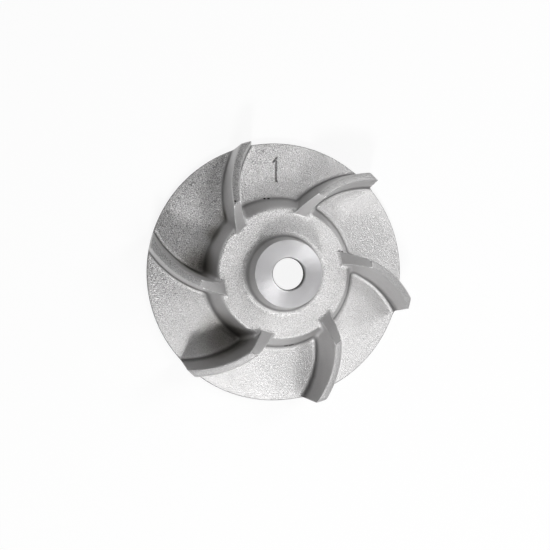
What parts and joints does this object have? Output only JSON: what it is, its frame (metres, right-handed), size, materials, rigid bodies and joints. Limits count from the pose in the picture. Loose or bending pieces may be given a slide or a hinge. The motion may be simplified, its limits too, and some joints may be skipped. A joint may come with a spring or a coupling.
{
  "type": "pump impeller",
  "caption": "Semi-open centrifugal pump impeller: round back disc, hub with raised bored boss and backswept vanes, one shot-blasted light metal casting.",
  "frame": {"origin": "centre of the casting at its back face, on the bore's axis", "axes": "+Z along the bore axis, from the back face towards the vanes and the boss; the centre of one vane's arcs lies on +Y"},
  "size_m": [0.104, 0.104, 0.0303],
  "materials": {
    "casting": "shot-blasted casting"
  },
  "bodies": {
    "root": {"impeller": "casting"}
  },
  "joints": []
}
